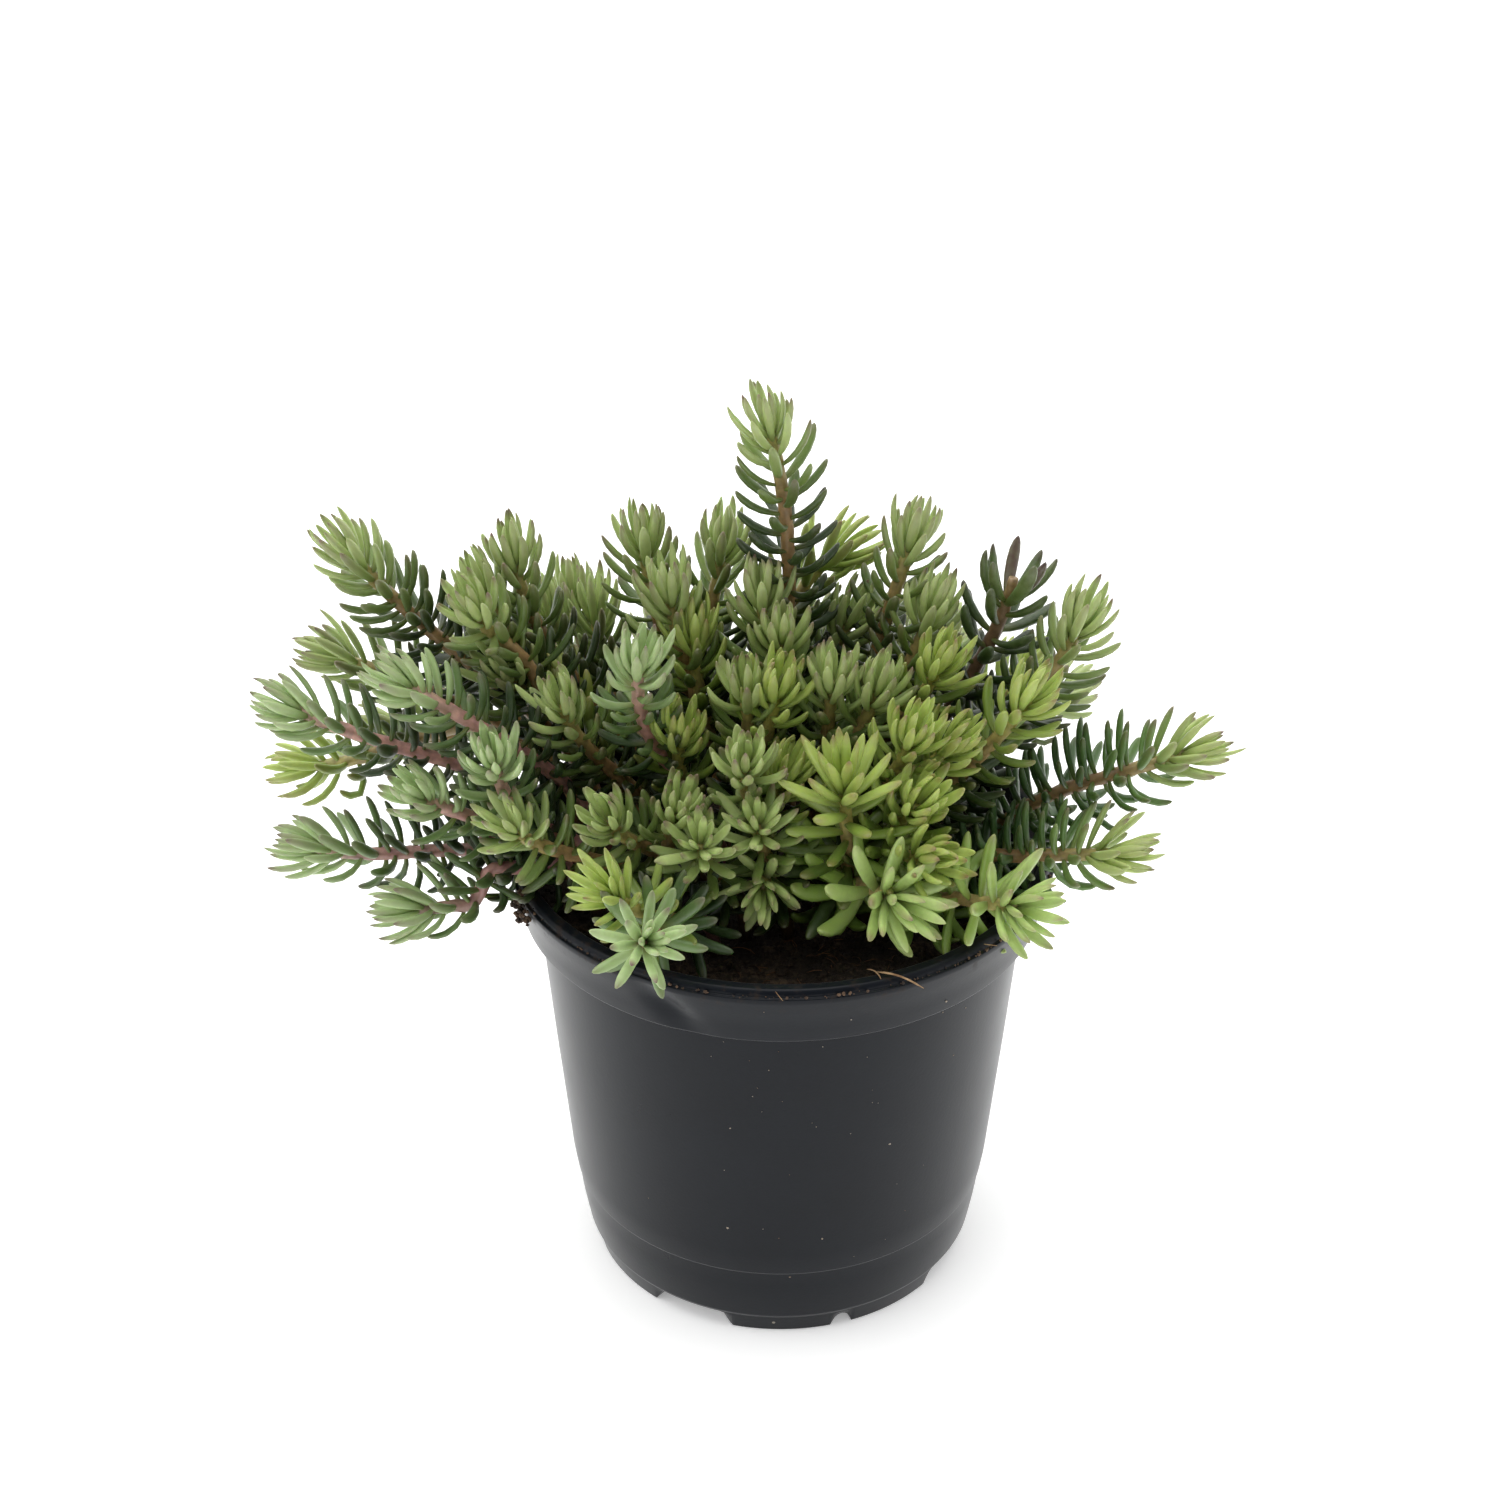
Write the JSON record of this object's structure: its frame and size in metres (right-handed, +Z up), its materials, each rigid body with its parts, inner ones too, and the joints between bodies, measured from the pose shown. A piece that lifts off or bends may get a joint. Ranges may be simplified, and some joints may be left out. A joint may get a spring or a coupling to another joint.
{
  "type": "potted sedum",
  "caption": "Low mound of fleshy, needle-leaved stonecrop shoots growing out of a thin round black plastic nursery pot filled with dark peat.",
  "frame": {"origin": "on the ground under the middle of the whole outline; the pot's axis stands 9.2 mm towards +X and 12.3 mm towards -Y of it", "axes": "+Z up, +X to the right as seen from the front, +Y towards the back"},
  "size_m": [0.1906, 0.1534, 0.1816],
  "materials": {
    "pot_plastic": "thin injection-moulded polypropylene, bluish black, satin",
    "peat": "moist dark brown peat with fibres and crumbs, rough",
    "sedum": "fleshy leaves with a pale waxy bloom, satin"
  },
  "bodies": {
    "root": {"pot": "pot_plastic", "soil": "peat", "shoot_left_high": "sedum", "shoot_left_back": "sedum", "shoot_left_long": "sedum", "shoot_left_low": "sedum", "shoot_left_trailing": "sedum", "shoot_left_crown": "sedum", "shoot_left_upright": "sedum", "shoot_left_mid": "sedum", "shoot_left_front": "sedum", "shoot_left_rosette": "sedum", "shoot_back_left": "sedum", "shoot_centre_tall": "sedum", "shoot_centre_full": "sedum", "shoot_centre_pink": "sedum", "shoot_centre_left": "sedum", "shoot_front_left": "sedum", "shoot_front_trailing": "sedum", "shoot_front_small": "sedum", "shoot_front_mid": "sedum", "shoot_front_low": "sedum", "shoot_crown_spire": "sedum", "shoot_crown_back": "sedum", "shoot_crown_front": "sedum", "shoot_crown_right": "sedum", "shoot_right_nodding": "sedum", "shoot_right_tall": "sedum", "shoot_right_crown": "sedum", "shoot_right_dark": "sedum", "shoot_right_high": "sedum", "shoot_right_mid": "sedum", "shoot_right_long": "sedum", "shoot_right_low": "sedum", "shoot_right_rim": "sedum", "shoot_front_right": "sedum", "shoot_front_right_upper": "sedum", "shoot_front_pale": "sedum", "shoot_back_a": "sedum", "shoot_back_b": "sedum", "shoot_back_c": "sedum", "shoot_back_d": "sedum", "shoot_back_e": "sedum", "shoot_back_f": "sedum", "shoot_back_g": "sedum"}
  },
  "joints": []
}
